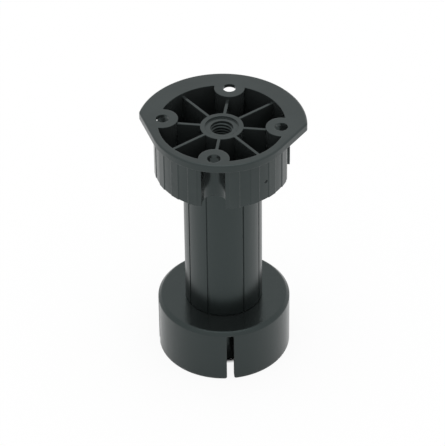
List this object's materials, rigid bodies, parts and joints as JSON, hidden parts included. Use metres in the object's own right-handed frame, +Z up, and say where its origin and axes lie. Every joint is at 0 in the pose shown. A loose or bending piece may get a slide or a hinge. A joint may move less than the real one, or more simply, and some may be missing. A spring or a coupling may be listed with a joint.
{
  "type": "adjustable cabinet leg",
  "caption": "Black plastic cabinet leg: a ribbed screw-on socket, a grooved tube and a round foot that screws in and out to set the height.",
  "frame": {"origin": "middle of the socket's top face, on the leg's axis, where it meets the cabinet", "axes": "+Z up along the leg towards the cabinet, -Y towards the trimmed side of the flange"},
  "size_m": [0.0738, 0.0685, 0.122],
  "materials": {
    "socket_plastic": "satin",
    "tube_plastic": "satin",
    "foot_plastic": "satin"
  },
  "bodies": {
    "foot": {"adjusting_foot": "foot_plastic"},
    "socket": {"mounting_socket": "socket_plastic"},
    "tube": {"leg_tube": "tube_plastic"}
  },
  "joints": [
    {"name": "tube_turn", "type": "hinge", "parent": "socket", "child": "tube", "pos_m": [0, 0, -0.014], "axis": [0, 0, 1], "range_deg": [0, 1440]},
    {"name": "leg_height", "type": "slide", "parent": "foot", "child": "socket", "axis": [0, 0, 1], "range_m": [0, 0.02]}
  ],
  "couplings": [
    {"joint": "leg_height", "follows": "tube_turn", "m_per_rad": 0.00079577}
  ]
}
